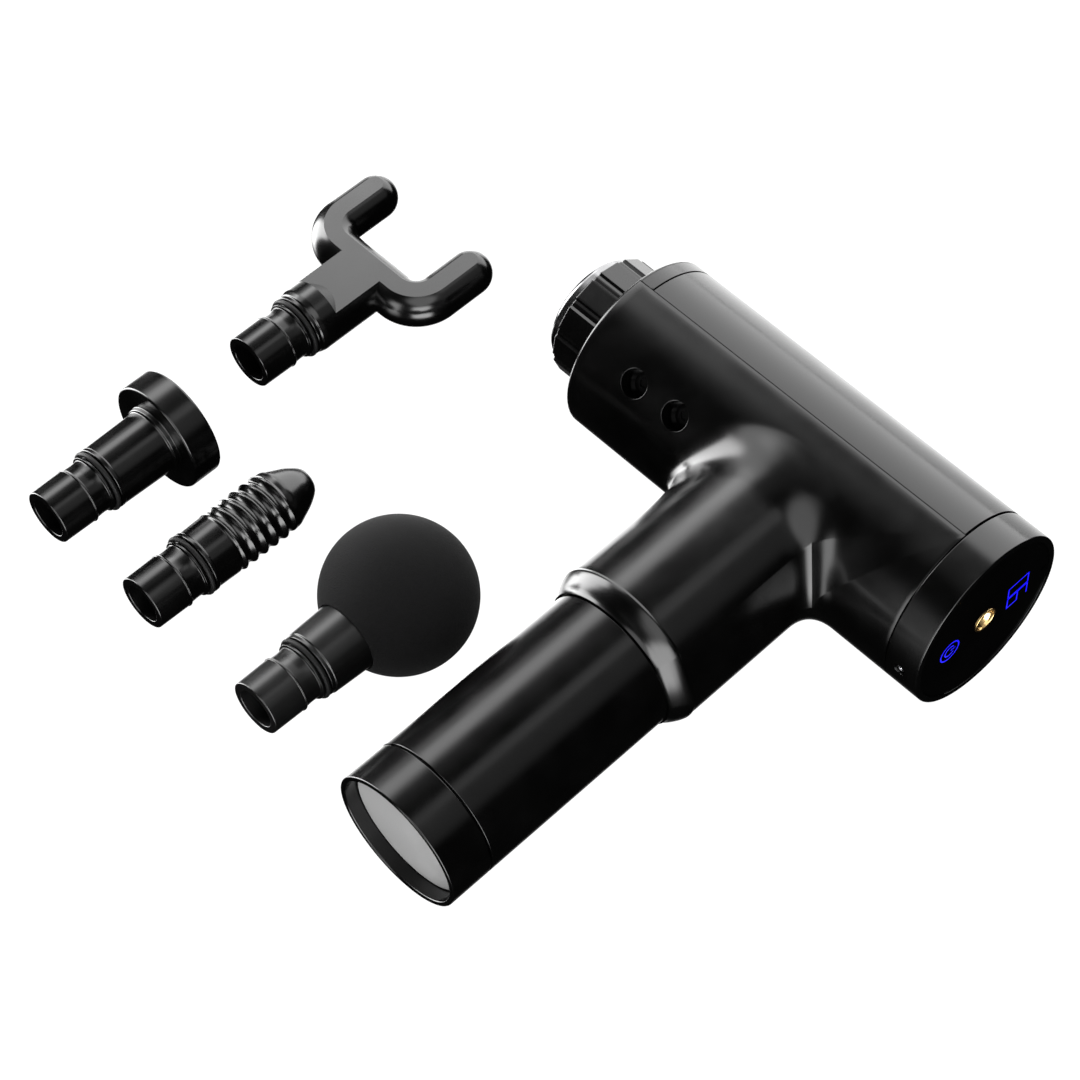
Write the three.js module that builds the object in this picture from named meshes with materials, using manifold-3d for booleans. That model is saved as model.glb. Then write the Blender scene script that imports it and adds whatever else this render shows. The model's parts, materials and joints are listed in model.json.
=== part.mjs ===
// Massage gun lying on its side, with its four loose heads laid out beside it.
//
// Row frame, millimetres: +X along the barrel towards the display, -Y along the handle towards
// its end, +Z up, floor at z = 0. The gun is modelled in its own group, whose origin is where
// the barrel axis (X) meets the handle axis (Y). Heads are turned about +Y from the plug end.

import * as THREE from "three";
import { mergeVertices } from "three/addons/utils/BufferGeometryUtils.js";
import Module from "manifold-3d";

const wasm = await Module();
wasm.setup();

// ---------------------------------------------------------------- driving dimensions

const GAP = 0.3; // between pieces that touch
const WALL = 2.3;
const DROOP = 0.037; // radians: the gun rests on its barrel and on its collar

const BARREL_R = 28;
const BARREL_SIDES = 40;
const BARREL_FRONT_X = -70.6;
const CAP_SEAM_X = 51.9;
const BARREL_REAR_X = 63.3;
const FRONT_RING_X = -65; // the top cover starts here
const PARTING_Y = 1.5; // the top cover ends here
const FRONT_WALL = 2.6;

const LENS_X = [61.3, 63];
const LENS_R = 25.7;
const JACK_R = 4.1;
const CAP_SCREW_X = 57.3;

const NECK_R = 25.15;
const GRIP_R = 21.6;
const GRIP_TOP_Y = -80.1;
const GRIP_SEAM_Y = -145.4;
const HANDLE_END_Y = -159.4;

const STROKE = 10;
const CRANK_R = STROKE / 2;
const SOCKET_R = 8.9;
const SLEEVE_R = 17;
const SLEEVE_FRONT_X = -89;
const SLEEVE_BACK_X = -60;
const COLLAR_R = 19.6;
const COLLAR_FRONT_X = -84.8;
const FLUTES = 12;

const MOTOR_R = 19;
const SHAFT_R = 2.5;
const PLATE_Y = [-14.5, -11.5]; // drive frame's plate
const GUIDE_X = [-52, -30];
const BUSH_R = 8;
const PLUNGER_SHAFT_R = 5;
const PIN_R = 2.2;
const PIN_BEARING_R = 3.6;
const YOKE_SLACK = 1.25;

const CELL_R = 9.05;
const CELL_LENGTH = 65;
const CELL_BOTTOM_Y = -142.6;

const WELL_R = 4.25;
const WELL_ANGLE = THREE.MathUtils.degToRad(137);
const WELL_DEPTH = 6.3;
const WELL_X = [-50.5, -34.7];

const HEAD_SIDES = 20;
const PLUG_R = 8.4;
const RING_S = 18.3; // the rubber ring, from the plug end
const BALL_R = 22.4;
const BALL_CENTRE = 52.65; // from the plug end
const BULLET_R = 9.9;
const DISC_R = 17;
const FORK_STEM_R = 10.4;
const FORK_BAR_R = 6.95;
const FORK_FLAT = 6.4;
const FORK_SPREAD = 20.6; // tine axis from the head's axis

// Where each head's plug end lies from the crossing of the gun's axes.
const BALL_AT = [-56.5, -158.4];
const BULLET_AT = [-110.8, -153.3];
const DISC_AT = [-147.1, -156.0];
const FORK_AT = [-153.5, -76.0];

// ---------------------------------------------------------------- materials

function material(colour, roughness, metalness) {
  return new THREE.MeshStandardMaterial({ color: colour, roughness, metalness });
}

const satinBlack = material(0x0b0b0c, 0.35, 0);
const glossBlack = material(0x050506, 0.08, 0);
const rubberBlack = material(0x121212, 0.8, 0);
const foamBlack = material(0x1c1c1d, 0.9, 0);
const chrome = material(0xd6d8da, 0.1, 1);
const steel = material(0x9a9da0, 0.3, 1);
const brass = material(0xc9a24a, 0.25, 1);
const aluminium = material(0xb4b6b8, 0.4, 1);
const greyPlate = material(0x9a9b9c, 0.6, 0);
const copper = material(0xa8623a, 0.4, 1);
const boardGreen = material(0x14402a, 0.5, 0);
const nylon = material(0xd8d4c8, 0.6, 0);
const cellBlue = material(0x2460a8, 0.4, 0);
const redWire = material(0xa01818, 0.5, 0);

// ---------------------------------------------------------------- geometry helpers

function solidOf(geometry) {
  const bare = geometry.index ? geometry.toNonIndexed() : geometry.clone();
  bare.deleteAttribute("normal");
  bare.deleteAttribute("uv");
  const merged = mergeVertices(bare, 1e-3);
  const vertProperties = new Float32Array(merged.attributes.position.array);
  const triVerts = new Uint32Array(merged.index.array);
  return new wasm.Manifold(new wasm.Mesh({ numProp: 3, vertProperties, triVerts }));
}

function geometryOf(solid) {
  const mesh = solid.getMesh();
  const geometry = new THREE.BufferGeometry();
  const corners = new Float32Array(mesh.vertProperties);
  geometry.setAttribute("position", new THREE.BufferAttribute(corners, 3));
  geometry.setIndex(new THREE.BufferAttribute(new Uint32Array(mesh.triVerts), 1));
  return geometry;
}

function join(...geometries) {
  return geometryOf(geometries.map(solidOf).reduce((all, next) => all.add(next)));
}

function cut(geometry, ...tools) {
  const body = tools.map(solidOf).reduce((left, tool) => left.subtract(tool), solidOf(geometry));
  return geometryOf(body);
}

function common(first, second) {
  return geometryOf(solidOf(first).intersect(solidOf(second)));
}

// A solid turned about the Y axis from [radius, height] points, listed either way round.
function turned(outline, sides = 32) {
  const points = outline.map(([radius, height]) => new THREE.Vector2(radius, height));
  if (THREE.ShapeUtils.area(points) < 0) points.reverse();
  const first = points[0];
  const last = points[points.length - 1];
  if (first.x > 0 || last.x > 0) points.push(first.clone());
  return new THREE.LatheGeometry(points, sides);
}

function turnedX(outline, sides = 32) {
  return turned(outline, sides).rotateZ(-Math.PI / 2);
}

function rodOutline(radius, from, to) {
  return [
    [0, from],
    [radius, from],
    [radius, to],
    [0, to],
  ];
}

function ringOutline(outer, inner, from, to) {
  return [
    [inner, from],
    [outer, from],
    [outer, to],
    [inner, to],
  ];
}

const rodY = (radius, from, to, sides) => turned(rodOutline(radius, from, to), sides);
const rodX = (radius, from, to, sides) => turnedX(rodOutline(radius, from, to), sides);
const ringY = (outer, inner, from, to, sides) => turned(ringOutline(outer, inner, from, to), sides);
const ringX = (outer, inner, from, to, sides) => turnedX(ringOutline(outer, inner, from, to), sides);

// A box from its two far corners.
function box(low, high) {
  const size = high.map((value, axis) => value - low[axis]);
  const geometry = new THREE.BoxGeometry(...size);
  return geometry.translate(...low.map((value, axis) => value + size[axis] / 2));
}

function arc(centreR, centreS, radius, fromDegrees, toDegrees, steps) {
  return Array.from({ length: steps + 1 }, (_, step) => {
    const angle = THREE.MathUtils.degToRad(fromDegrees + ((toDegrees - fromDegrees) * step) / steps);
    return [centreR + radius * Math.cos(angle), centreS + radius * Math.sin(angle)];
  });
}

function mesh(name, geometry, look) {
  const made = new THREE.Mesh(geometry, look);
  made.name = name;
  return made;
}

// ---------------------------------------------------------------- housing

// The neck and collar: a turned piece whose top spreads along the barrel to meet it.
function neckSolid() {
  const collar = [
    [0, GRIP_TOP_Y],
    [22.2, GRIP_TOP_Y],
    [22.6, -79],
    [23.7, -77.6],
    [24.6, -76],
    [25.27, -73.6],
  ];
  const spreadFrom = -40;
  const spreadReach = 9;
  const rise = Array.from({ length: 6 }, (_, step) => [NECK_R, spreadFrom + step * 4]);
  const neck = turned([...collar, [NECK_R, -70], ...rise, [NECK_R, -14], [0, -14]], 36);
  const corner = neck.attributes.position;
  for (let index = 0; index < corner.count; index += 1) {
    const up = Math.max(0, (corner.getY(index) - spreadFrom) / (-20 - spreadFrom));
    const widen = 1 + (spreadReach * Math.min(1, up) ** 3) / NECK_R;
    corner.setX(index, corner.getX(index) * widen);
  }
  return common(neck, box([-60, -100, -24.9], [60, 0, 24.9]));
}

// A cylinder that points out of the barrel at one screw well.
function wellSolid(radius, x, side, fromR, toR) {
  const well = rodY(radius, fromR, toR, 16);
  return well.rotateX(side * WELL_ANGLE).translate(x, 0, 0);
}

function eachWell(make) {
  return WELL_X.flatMap((x) => [1, -1].map((side) => make(x, side)));
}

function mainBody() {
  const bevel = 0.7;
  const outer = turnedX(
    [
      [0, BARREL_FRONT_X],
      [BARREL_R - bevel, BARREL_FRONT_X],
      [BARREL_R, BARREL_FRONT_X + bevel],
      [BARREL_R, CAP_SEAM_X],
      [0, CAP_SEAM_X],
    ],
    BARREL_SIDES,
  );
  const cavity = rodX(BARREL_R - WALL, BARREL_FRONT_X + FRONT_WALL, CAP_SEAM_X + 1, 36);
  const noseHole = rodX(COLLAR_R + 0.7, BARREL_FRONT_X - 1, BARREL_FRONT_X + FRONT_WALL + 1, 36);
  const coverSpace = box([FRONT_RING_X, PARTING_Y, -40], [CAP_SEAM_X + 1, 40, 40]);
  const trimInner = BARREL_R - WALL - GAP;
  const ringSpace = ringX(BARREL_R + 2, trimInner, BARREL_FRONT_X - 1, FRONT_RING_X + 1, BARREL_SIDES);
  const trimSpace = common(ringSpace, box([-80, PARTING_Y, -40], [0, 40, 40]));
  const neckSpace = rodY(NECK_R - 2.5, -70, 0, 32);
  const mouth = rodY(GRIP_R - 0.4, GRIP_TOP_Y - 1, -69, 36);
  const bosses = eachWell((x, side) => wellSolid(WELL_R + 1.5, x, side, BARREL_R - 8, BARREL_R - 1));
  const wells = eachWell((x, side) => wellSolid(WELL_R, x, side, BARREL_R - WELL_DEPTH, BARREL_R + 2));
  const shell = cut(join(outer, neckSolid()), cavity, neckSpace, mouth);
  return cut(join(shell, ...bosses), noseHole, coverSpace, trimSpace, ...wells);
}

// The arc in front of the top cover, which completes the barrel's front rim.
function frontTrim() {
  const bevel = 0.7;
  const inner = BARREL_R - WALL;
  const ring = turnedX(
    [
      [inner, BARREL_FRONT_X],
      [BARREL_R - bevel, BARREL_FRONT_X],
      [BARREL_R, BARREL_FRONT_X + bevel],
      [BARREL_R, FRONT_RING_X - 0.1],
      [inner, FRONT_RING_X - 0.1],
    ],
    BARREL_SIDES,
  );
  return common(ring, box([-80, PARTING_Y + GAP, -40], [0, 40, 40]));
}

function topCover() {
  const shell = ringX(BARREL_R, BARREL_R - WALL, FRONT_RING_X + GAP, CAP_SEAM_X - GAP, BARREL_SIDES);
  return common(shell, box([-80, PARTING_Y + GAP, -40], [80, 40, 40]));
}

function rearCap() {
  const from = CAP_SEAM_X + GAP;
  const rim = 2;
  const shell = turnedX(
    [
      [BARREL_R - WALL - 2.2, from - 4],
      [BARREL_R - WALL - 0.4, from - 4],
      [BARREL_R - WALL - 0.4, from],
      [BARREL_R, from],
      [BARREL_R, BARREL_REAR_X - 0.5],
      [BARREL_R - 0.5, BARREL_REAR_X],
      [BARREL_R - rim, BARREL_REAR_X],
      [BARREL_R - rim, LENS_X[0] - GAP],
      [BARREL_R - rim - 1.8, LENS_X[0] - GAP],
    ],
    BARREL_SIDES,
  );
  const screwHole = rodY(1.75, -BARREL_R - 1, -BARREL_R + 1.9, 16).translate(CAP_SCREW_X, 0, 0);
  return cut(shell, screwHole);
}

function displayLens() {
  const disc = rodX(LENS_R, ...LENS_X, BARREL_SIDES);
  const jackHole = rodX(JACK_R + GAP, LENS_X[0] - 1, LENS_X[1] + 1, 24);
  const notch = box([LENS_X[0] - 1, 22.9, -0.5], [LENS_X[1] + 1, LENS_R - 0.8, 0.5]);
  return cut(disc, jackHole, notch);
}

// A plug's socket with a flared mouth.
function chargeJack() {
  return turnedX(
    [
      [0, 55.4],
      [JACK_R, 55.4],
      [JACK_R, 63],
      [JACK_R - 0.2, 63.3],
      [JACK_R - 0.6, 63.3],
      [1.9, 60.6],
      [1.9, 56.4],
      [0, 56.4],
    ],
    24,
  );
}

// A ring with flat facets and a shallow groove between each two, and a flange inside the barrel.
function noseCollar() {
  const grooveHalf = THREE.MathUtils.degToRad(4.2);
  const pitch = (2 * Math.PI) / FLUTES;
  const firstGroove = THREE.MathUtils.degToRad(-4);
  const outline = new THREE.Shape();
  for (let flute = 0; flute < FLUTES; flute += 1) {
    const middle = firstGroove + flute * pitch;
    const corners = [
      [COLLAR_R, middle - grooveHalf],
      [COLLAR_R - 0.8, middle - grooveHalf * 0.6],
      [COLLAR_R - 0.8, middle + grooveHalf * 0.6],
      [COLLAR_R, middle + grooveHalf],
    ];
    corners.forEach(([radius, angle], index) => {
      const place = [radius * Math.cos(angle), radius * Math.sin(angle)];
      if (flute === 0 && index === 0) outline.moveTo(...place);
      else outline.lineTo(...place);
    });
  }
  outline.closePath();
  const length = BARREL_FRONT_X - GAP - COLLAR_FRONT_X;
  const fluted = new THREE.ExtrudeGeometry(outline, { depth: length, bevelEnabled: false });
  // The outline's own x and y become the row's Y and Z; its depth runs along X.
  const placed = new THREE.Matrix4().makeBasis(
    new THREE.Vector3(0, 1, 0),
    new THREE.Vector3(0, 0, 1),
    new THREE.Vector3(1, 0, 0),
  );
  fluted.applyMatrix4(placed).translate(COLLAR_FRONT_X, 0, 0);
  const behindWall = BARREL_FRONT_X + FRONT_WALL + GAP;
  const spigot = rodX(COLLAR_R + 0.3, BARREL_FRONT_X - 1, behindWall + 0.1, 32);
  const flange = rodX(COLLAR_R + 3.4, behindWall, behindWall + 2.2, 32);
  const bore = rodX(SLEEVE_R + 0.45, COLLAR_FRONT_X - 1, behindWall + 3, 36);
  return cut(join(fluted, spigot, flange), bore);
}

// ---------------------------------------------------------------- drive

function driveFrame() {
  const [low, high] = PLATE_Y;
  const plate = box([GUIDE_X[0], low, -11], [31, high, 11]);
  const middle = rodY(19, low, high, 40);
  const guide = box([GUIDE_X[0], low, -11], [GUIDE_X[1], 10, 11]);
  const bushBore = rodX(BUSH_R + GAP, GUIDE_X[0] - 1, GUIDE_X[1] + 1, 32);
  const bearingBore = rodY(6 + GAP, low - 1, high + 1, 32);
  return cut(join(plate, middle, guide), bushBore, bearingBore);
}

// Nine-slot stator on a hub that screws up under the drive frame.
function motorStator() {
  const slots = 9;
  const core = ringY(16.6, SHAFT_R + 1.2, -42, -22, 27);
  const hub = ringY(9, SHAFT_R + 1.2, -22.5, PLATE_Y[0] - GAP, 24);
  const gaps = Array.from({ length: slots }, (_, slot) => {
    const angle = (slot * 2 * Math.PI) / slots;
    return box([9.5, -50, -0.9], [18, -20, 0.9]).rotateY(angle);
  });
  return cut(join(core, hub), ...gaps);
}

function motorCan() {
  return turned(
    [
      [SHAFT_R + GAP, -46],
      [MOTOR_R - 1, -46],
      [MOTOR_R, -45],
      [MOTOR_R, -20],
      [MOTOR_R - 1.8, -20],
      [MOTOR_R - 1.8, -43.6],
      [SHAFT_R + GAP, -43.6],
    ],
    32,
  );
}

function crankDisc() {
  const [low, high] = [-10.9, -7];
  const disc = rodY(10, low, high, 32);
  const weight = common(rodY(15, low, high, 40), box([-15, -20, -16], [15, 0, -1]));
  return cut(join(disc, weight), rodY(SHAFT_R + GAP, low - 1, high + 1, 20));
}

function plungerYoke() {
  const slotX = PIN_BEARING_R + YOKE_SLACK;
  const slotZ = CRANK_R + PIN_BEARING_R + 0.7;
  const rim = 2.6;
  const block = box([-slotX - rim, -3, -slotZ - rim], [slotX + rim, 3, slotZ + rim]);
  return cut(block, box([-slotX, -4, -slotZ], [slotX, 4, slotZ]));
}

function plungerSleeve() {
  const bore = SOCKET_R + 1.9;
  return turnedX(
    [
      [0, SLEEVE_BACK_X],
      [SLEEVE_R, SLEEVE_BACK_X],
      [SLEEVE_R, SLEEVE_FRONT_X + 1.2],
      [SLEEVE_R - 1.2, SLEEVE_FRONT_X],
      [bore, SLEEVE_FRONT_X],
      [bore, SLEEVE_BACK_X - 3],
      [0, SLEEVE_BACK_X - 3],
    ],
    36,
  );
}

// ---------------------------------------------------------------- handle

function gripTube() {
  return turned(
    [
      [GRIP_R - 1.6, GRIP_SEAM_Y + GAP],
      [GRIP_R, GRIP_SEAM_Y + GAP],
      [GRIP_R, GRIP_TOP_Y - GAP],
      [GRIP_R - 0.75, GRIP_TOP_Y - GAP],
      [GRIP_R - 0.75, -71],
      [GRIP_R - 1.6, -71],
    ],
    36,
  );
}

function endCap() {
  const top = GRIP_SEAM_Y - GAP;
  return turned(
    [
      [0, -153.6],
      [GRIP_R - 1.7, -153.6],
      [GRIP_R - 1.7, HANDLE_END_Y + 0.6],
      [GRIP_R - 1.2, HANDLE_END_Y],
      [GRIP_R - 0.6, HANDLE_END_Y],
      [GRIP_R - 0.15, HANDLE_END_Y + 0.6],
      [GRIP_R, top],
      [GRIP_R - 1.95, top],
      [GRIP_R - 1.95, top + 2.4],
      [GRIP_R - 3.4, top + 2.4],
      [GRIP_R - 3.4, -151.6],
      [0, -151.6],
    ],
    36,
  );
}

// The lead runs up beside the motor from the battery board to the control board.
function batteryLead() {
  const route = new THREE.CatmullRomCurve3([
    new THREE.Vector3(0, -72.5, 12),
    new THREE.Vector3(0, -62, 20.2),
    new THREE.Vector3(0, -40, 20.8),
    new THREE.Vector3(1, -18, 20.8),
    new THREE.Vector3(14, -4, 20.6),
    new THREE.Vector3(28, 4, 15),
    new THREE.Vector3(31, 8.2, 10),
  ]);
  const section = new THREE.Shape();
  section.absarc(0, 0, 1.1, 0, 2 * Math.PI);
  return new THREE.ExtrudeGeometry(section, { steps: 18, curveSegments: 4, extrudePath: route });
}

// ---------------------------------------------------------------- heads

// The plug that every head shares, from its bore's floor out and up to the start of the stem.
function plugOutline() {
  const bore = 6;
  return [
    [0, 14],
    [bore, 14],
    [bore, 0],
    [PLUG_R - 0.3, 0],
    [PLUG_R, 0.4],
    [PLUG_R + 0.35, 11],
    [PLUG_R, 11.3],
    [PLUG_R, 13],
    [PLUG_R - 0.7, 15.4],
    [PLUG_R + 0.4, 17.2],
    [7.9, 17.3],
    [7.9, 19.3],
    [9.7, 19.4],
    [9.7, 20.6],
  ];
}

function plugRing() {
  const section = arc(9.1, RING_S, 0.7, 0, 300, 5);
  return turned(section, 20);
}

function ballStem() {
  const outline = [...plugOutline(), [10.45, 33], [10.45, 38], [0, 38]];
  return turned(outline, HEAD_SIDES);
}

function ballFoam() {
  const mouth = 10.8;
  const start = THREE.MathUtils.radToDeg(-Math.acos(mouth / BALL_R));
  const skin = arc(0, BALL_CENTRE, BALL_R, start, 90, 10);
  return turned([...skin.slice(0, -1), [0, BALL_CENTRE + BALL_R], [0, 38.3], [mouth, 38.3]], 28);
}

function bulletHead() {
  const ribs = Array.from({ length: 5 }, (_, rib) => {
    const start = 29.4 + rib * 3.8;
    return [
      [9.0, start],
      [BULLET_R, start + 1.9],
    ];
  }).flat();
  const nose = [[9.5, 48.8], [9.45, 51], [6.9, 57.4], ...arc(0, 55.6, 6.6, 30, 75, 2), [0, 62.2]];
  return turned([...plugOutline(), [9.5, 29.2], ...ribs, ...nose], HEAD_SIDES);
}

function discHead() {
  const edge = 0.8;
  const outline = [
    ...plugOutline(),
    [9.9, 38.4],
    [10.6, 40],
    [DISC_R - edge, 40],
    [DISC_R, 40 + edge],
    [DISC_R, 49.6 - edge],
    [DISC_R - edge, 49.6],
    [0, 49.6],
  ];
  return turned(outline, 28);
}

// A round bar bent into a U, with its ends rounded, on a round stem. Both sides are milled flat up
// to a coned shoulder on the stem.
function forkHead() {
  const shoulderS = 27.5;
  const barS = 47.5;
  const bend = 9;
  const tipS = 69.4;
  const corner = (side) => [
    new THREE.Vector3(side * FORK_SPREAD, tipS, 0),
    new THREE.Vector3(side * FORK_SPREAD, barS + bend, 0),
  ];
  const path = new THREE.CurvePath();
  const [leftTip, leftBend] = corner(-1);
  const [rightTip, rightBend] = corner(1);
  const leftFoot = new THREE.Vector3(-FORK_SPREAD + bend, barS, 0);
  const rightFoot = new THREE.Vector3(FORK_SPREAD - bend, barS, 0);
  path.add(new THREE.LineCurve3(leftTip, leftBend));
  path.add(quarterTurn(leftBend, leftFoot, new THREE.Vector3(-FORK_SPREAD, barS, 0)));
  path.add(new THREE.LineCurve3(leftFoot, rightFoot));
  path.add(quarterTurn(rightFoot, rightBend, new THREE.Vector3(FORK_SPREAD, barS, 0)));
  path.add(new THREE.LineCurve3(rightBend, rightTip));
  const section = new THREE.Shape();
  section.absarc(0, 0, FORK_BAR_R, 0, 2 * Math.PI);
  const bar = new THREE.ExtrudeGeometry(section, { steps: 20, curveSegments: 8, extrudePath: path });
  const tips = [leftTip, rightTip].map((tip) => {
    return new THREE.SphereGeometry(FORK_BAR_R - 0.02, 16, 8).translate(tip.x, tip.y, 0);
  });
  const stem = turned([...plugOutline(), [FORK_STEM_R, 21], [FORK_STEM_R, 47], [0, 47]], HEAD_SIDES);
  const flats = [1, -1].map((side) => {
    const near = side * FORK_FLAT;
    const far = side * 20;
    return box([-40, shoulderS, Math.min(near, far)], [40, 90, Math.max(near, far)]);
  });
  const shoulder = turned(
    [
      [0, shoulderS - 1],
      [FORK_STEM_R - 0.02, shoulderS - 1],
      [FORK_STEM_R - 0.02, shoulderS],
      [4.6, shoulderS + 6.5],
      [0, shoulderS + 6.5],
    ],
    HEAD_SIDES,
  );
  return join(cut(join(stem, bar, ...tips), ...flats), shoulder);
}

// A quarter of a circle between two points, as a cubic curve towards their shared corner.
function quarterTurn(from, to, corner) {
  const reach = 0.5523;
  const first = from.clone().lerp(corner, reach);
  const second = to.clone().lerp(corner, reach);
  return new THREE.CubicBezierCurve3(from, first, second, to);
}

// ---------------------------------------------------------------- assembly

function buildGun() {
  const gun = new THREE.Group();
  gun.rotation.x = DROOP;
  gun.position.z = BARREL_R;

  const housing = [
    mesh("main_body", mainBody(), satinBlack),
    mesh("top_cover", topCover(), satinBlack),
    mesh("front_trim", frontTrim(), satinBlack),
    mesh("rear_cap", rearCap(), satinBlack),
    mesh("nose_collar", noseCollar(), satinBlack),
    mesh("nose_seal", ringX(22, SLEEVE_R + 0.5, -65.2, -63.7, 28), rubberBlack),
    mesh("cap_screw", rodY(1.4, -BARREL_R + 0.5, -BARREL_R + 1.6, 12), steel),
  ];
  housing.at(-1).position.x = CAP_SCREW_X;
  gun.add(...housing);

  eachWell((x, side) => {
    const floor = BARREL_R - WELL_DEPTH + GAP;
    const head = rodY(3.3, floor, floor + 2, 16);
    const slot = rodY(1.5, floor + 0.9, floor + 3, 6);
    const screw = mesh("", cut(head, slot), steel);
    const place = (WELL_X.indexOf(x) + 1) + (side > 0 ? 0 : 2);
    screw.name = `housing_screw_${place}`;
    screw.rotation.x = side * WELL_ANGLE;
    screw.position.x = x;
    gun.add(screw);
    return screw;
  });

  gun.add(
    mesh("display_lens", displayLens(), glossBlack),
    mesh("display_board", rodX(23, 53.4, 55, 40), boardGreen),
    mesh("segment_display", box([55.3, 7.5, -6.6], [60.9, 19, 6.6]), rubberBlack),
    mesh("touch_electrode", rodX(3.4, 55.3, 60.9, 20).translate(0, -14.2, 0), steel),
    mesh("charge_jack", chargeJack(), brass),
    mesh("jack_pin", rodX(0.7, 56.7, 62.3, 12), brass),
  );

  gun.add(
    mesh("drive_frame", driveFrame(), aluminium),
    mesh("guide_bush", ringX(BUSH_R, PLUNGER_SHAFT_R + GAP, GUIDE_X[0] + 1, GUIDE_X[1] - 1, 24), brass),
    mesh("shaft_bearing", ringY(6, SHAFT_R + GAP, PLATE_Y[0], PLATE_Y[1], 28), steel),
    mesh("motor_stator", motorStator(), copper),
  );
  const damperPlaces = [27, -27].flatMap((x) => [6.5, -6.5].map((z) => [x, z]));
  damperPlaces.forEach(([x, z], index) => {
    const damper = mesh(`frame_damper_${index + 1}`, rodY(2.8, -23.2, PLATE_Y[0] - GAP, 14), rubberBlack);
    damper.position.set(x, 0, z);
    gun.add(damper);
  });

  gun.add(
    mesh("motor_can", motorCan(), steel),
    mesh("motor_shaft", rodY(SHAFT_R, -46, -7, 20), steel),
    mesh("crank_disc", crankDisc(), steel),
    mesh("crank_pin", rodY(PIN_R, -7 + GAP, 3.6, 16).translate(0, 0, CRANK_R), steel),
    mesh("pin_bearing", ringY(PIN_BEARING_R, PIN_R + GAP, -2.6, 2.6, 24).translate(0, 0, CRANK_R), steel),
  );

  const yokeFront = -PIN_BEARING_R - YOKE_SLACK - 2.6;
  const linerFrom = SLEEVE_FRONT_X + 0.5;
  const linerTo = SLEEVE_BACK_X - 3 - GAP;
  gun.add(
    mesh("plunger_yoke", plungerYoke(), steel),
    mesh("plunger_shaft", rodX(PLUNGER_SHAFT_R, SLEEVE_BACK_X + GAP, yokeFront - GAP, 24), steel),
    mesh("plunger_sleeve", plungerSleeve(), chrome),
    mesh("socket_liner", ringX(SOCKET_R + 1.6, SOCKET_R, linerFrom, linerTo, 28), rubberBlack),
  );

  gun.add(
    mesh("control_board", box([16, 9, -17], [48, 10.6, 17]), boardGreen),
    mesh("motor_driver", box([22, 10.9, -4], [30, 12.6, 4]), rubberBlack),
    mesh("display_cable", box([48.3, 9.4, -5], [53.1, 10.2, 5]), nylon),
    mesh("battery_lead", batteryLead(), redWire),
  );
  [8, -8].forEach((z, index) => {
    const can = mesh(`capacitor_${index + 1}`, rodY(4, 10.9, 19, 18), aluminium);
    can.position.set(40, 0, z);
    gun.add(can);
  });

  gun.add(
    mesh("grip_tube", gripTube(), satinBlack),
    mesh("end_cap", endCap(), satinBlack),
    mesh("base_plate", rodY(GRIP_R - 2.1, -155.1, -153.9, 48), greyPlate),
    mesh("lower_cell_spacer", rodY(17.6, -144.6, CELL_BOTTOM_Y - GAP, 32), nylon),
    mesh("upper_cell_spacer", rodY(19.5, CELL_BOTTOM_Y + CELL_LENGTH + GAP, -75.6, 32), nylon),
    mesh("battery_board", rodY(17.5, -75.3, -73.8, 32), boardGreen),
  );
  const cellRing = (2 * CELL_R + GAP) / Math.sqrt(3);
  for (let cell = 0; cell < 3; cell += 1) {
    const angle = Math.PI / 2 + (cell * 2 * Math.PI) / 3;
    const length = rodY(CELL_R, CELL_BOTTOM_Y, CELL_BOTTOM_Y + CELL_LENGTH, 24);
    const battery = mesh(`battery_cell_${cell + 1}`, length, cellBlue);
    battery.position.set(cellRing * Math.cos(angle), 0, cellRing * Math.sin(angle));
    gun.add(battery);
  }
  return gun;
}

// One head with its plug's rubber ring, lying along +Y with its axis at the given height.
function headGroup(name, [x, y], height, stem, look) {
  const head = new THREE.Group();
  head.position.set(x, y, height);
  head.add(mesh(name, stem, look), mesh(`${name}_ring`, plugRing(), rubberBlack));
  return head;
}

function buildHeads() {
  const ball = headGroup("ball_head", BALL_AT, BALL_R, ballStem(), satinBlack);
  ball.add(mesh("foam_ball", ballFoam(), foamBlack));
  return [
    ball,
    headGroup("bullet_head", BULLET_AT, BULLET_R, bulletHead(), satinBlack),
    headGroup("disc_head", DISC_AT, DISC_R, discHead(), satinBlack),
    headGroup("fork_head", FORK_AT, FORK_STEM_R, forkHead(), satinBlack),
  ];
}

const part = new THREE.Group();
const layout = new THREE.Group();
layout.add(buildGun(), ...buildHeads());
part.add(layout);

// The row's origin is the middle of the whole set's footprint, on the floor.
layout.updateMatrixWorld(true);
const bounds = new THREE.Box3().setFromObject(layout, true);
const footprint = bounds.getCenter(new THREE.Vector3());
layout.position.set(-footprint.x, -footprint.y, -bounds.min.z);

export default part;
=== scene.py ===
"""Looks for a massage gun lying on its side with its four loose heads.

Every piece is built in millimetres in the frame of what it belongs to, and then carried into the
row frame. The gun's frame has its origin where the barrel axis (X) meets the handle axis (Y);
a head's frame has its origin in the middle of its plug end, with Y along the head.
"""

import json
import math

import bmesh
import bpy
import numpy as np
from mathutils import Matrix, Vector


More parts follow.
